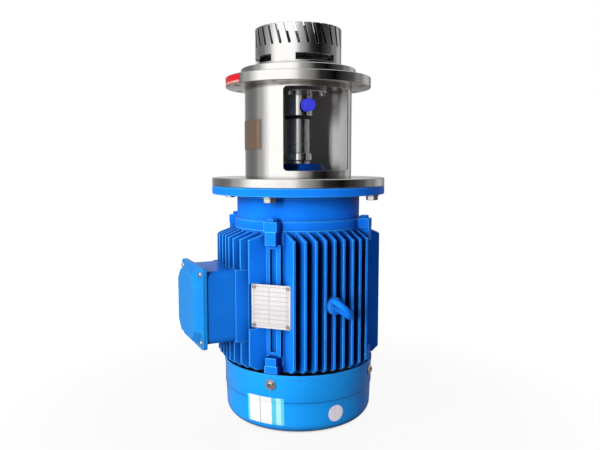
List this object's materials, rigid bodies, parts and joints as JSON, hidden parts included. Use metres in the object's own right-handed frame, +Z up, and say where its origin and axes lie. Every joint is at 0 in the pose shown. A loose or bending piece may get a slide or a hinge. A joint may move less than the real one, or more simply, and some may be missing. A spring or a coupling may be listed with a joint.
{
  "type": "high shear mixer",
  "caption": "Tank-bottom high shear mixer: a flange motor stands on its fan cowl and drives, through a round lantern with a shaft seal, a claw rotor inside a slotted stator head.",
  "frame": {"origin": "on the shaft's axis at the level of the floor, which is the bottom face of the fan cowl", "axes": "+Z up along the shaft towards the slotted head; -X towards the terminal box; -Y towards the lantern's window and the lifting eye"},
  "size_m": [0.3548, 0.333, 0.6644],
  "materials": {
    "motor_paint": "gloss blue enamel over casting",
    "stainless": "turned and polished stainless steel",
    "fastener_steel": "bright zinc plate",
    "shaft_steel": "ground steel",
    "bearing_steel": "polished",
    "brass": "satin",
    "copper": "varnished winding",
    "lamination": "stacked sheet edges",
    "bare_aluminium": "satin",
    "fan_plastic": "moulded",
    "board_plastic": "moulded",
    "cap_plastic": "moulded",
    "black_rubber": "smooth",
    "seal_ceramic": "lapped",
    "seal_carbon": "lapped",
    "plate_bronze": "thin printed foil, left blank"
  },
  "bodies": {
    "stationary": {"blanking_plug": "brass", "box_gasket": "black_rubber", "box_lid": "motor_paint", "box_screws": "fastener_steel", "cable_gland": "brass", "cowl_screws": "fastener_steel", "drive_bearing_outer": "bearing_steel", "drive_end_shield": "motor_paint", "drive_shield_bolts": "motor_paint", "earth_screw": "fastener_steel", "fan_bearing_outer": "bearing_steel", "fan_cowl": "motor_paint", "fan_end_shield": "motor_paint", "fan_shield_bolts": "motor_paint", "flange_bolts": "fastener_steel", "flange_washers": "fastener_steel", "flush_cap": "cap_plastic", "flush_nipple": "stainless", "head_screws": "fastener_steel", "lantern_base": "stainless", "lantern_plate": "plate_bronze", "lantern_tube": "stainless", "lid_screws": "fastener_steel", "lifting_eyebolt": "motor_paint", "lip_seal": "black_rubber", "motor_frame": "motor_paint", "name_plate": "bare_aluminium", "plate_rivets": "bare_aluminium", "seal_housing": "stainless", "seal_housing_screws": "fastener_steel", "seal_seat": "seal_ceramic", "stator_core": "lamination", "stator_head": "stainless", "stator_windings": "copper", "tank_flange": "stainless", "terminal_board": "board_plastic", "terminal_box": "motor_paint", "terminal_links": "brass", "terminal_nuts": "brass", "terminal_studs": "brass", "wave_spring": "fastener_steel"},
    "shaft": {"motor_shaft": "shaft_steel", "rotor_core": "lamination", "rotor_end_rings": "bare_aluminium", "fan_bearing_inner": "bearing_steel", "drive_bearing_inner": "bearing_steel", "cooling_fan": "fan_plastic", "fan_circlip": "fastener_steel", "fan_key": "shaft_steel", "seal_face": "seal_carbon", "seal_bellows": "black_rubber", "seal_collar": "shaft_steel", "v_ring": "black_rubber", "shaft_collar": "stainless", "mixing_rotor": "stainless", "rotor_key": "shaft_steel", "rotor_cap_nut": "stainless"},
    "cages": {"fan_bearing_cage": "brass", "drive_bearing_cage": "brass", "bearing_balls": "bearing_steel"}
  },
  "joints": [
    {"name": "shaft_spin", "type": "hinge", "parent": "stationary", "child": "shaft", "pos_m": [0, 0, 0.4], "axis": [0, 0, 1], "continuous": true},
    {"name": "cage_spin", "type": "hinge", "parent": "stationary", "child": "cages", "pos_m": [0, 0, 0.4], "axis": [0, 0, 1], "continuous": true}
  ],
  "couplings": [
    {"joint": "cage_spin", "follows": "shaft_spin", "ratio": 0.40083}
  ]
}
